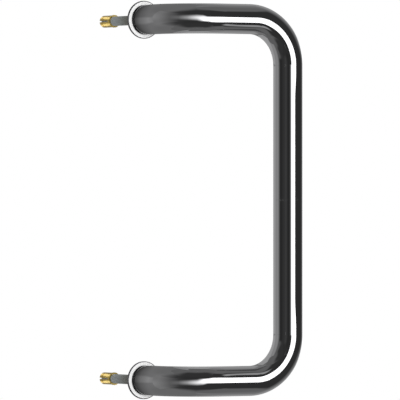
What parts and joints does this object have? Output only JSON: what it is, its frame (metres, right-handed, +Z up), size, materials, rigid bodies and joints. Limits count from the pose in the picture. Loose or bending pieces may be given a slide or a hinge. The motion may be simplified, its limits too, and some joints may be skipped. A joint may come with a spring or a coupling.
{
  "type": "offset door pull handle",
  "caption": "Offset round-bar pull handle for a door: a polished bent bar on round roses, with threaded studs and slit brass sleeves that fix it through the door.",
  "frame": {"origin": "on the door's face, midway between the two fixing studs", "axes": "+Z up along the grip, +Y into the door along the studs, +X towards the grip's side"},
  "size_m": [0.1317, 0.139, 0.3314],
  "materials": {
    "polished_bar": "mirror-polished round bar",
    "polished_rose": "bright flat face with a polished bevelled edge",
    "dull_steel": "dull grey plated thread",
    "brass": "bright turned brass with saw cuts"
  },
  "bodies": {
    "root": {"handle_bar": "polished_bar", "upper_rose": "polished_rose", "lower_rose": "polished_rose", "upper_stud": "dull_steel", "lower_stud": "dull_steel", "upper_fixing_sleeve": "brass", "lower_fixing_sleeve": "brass"}
  },
  "joints": []
}
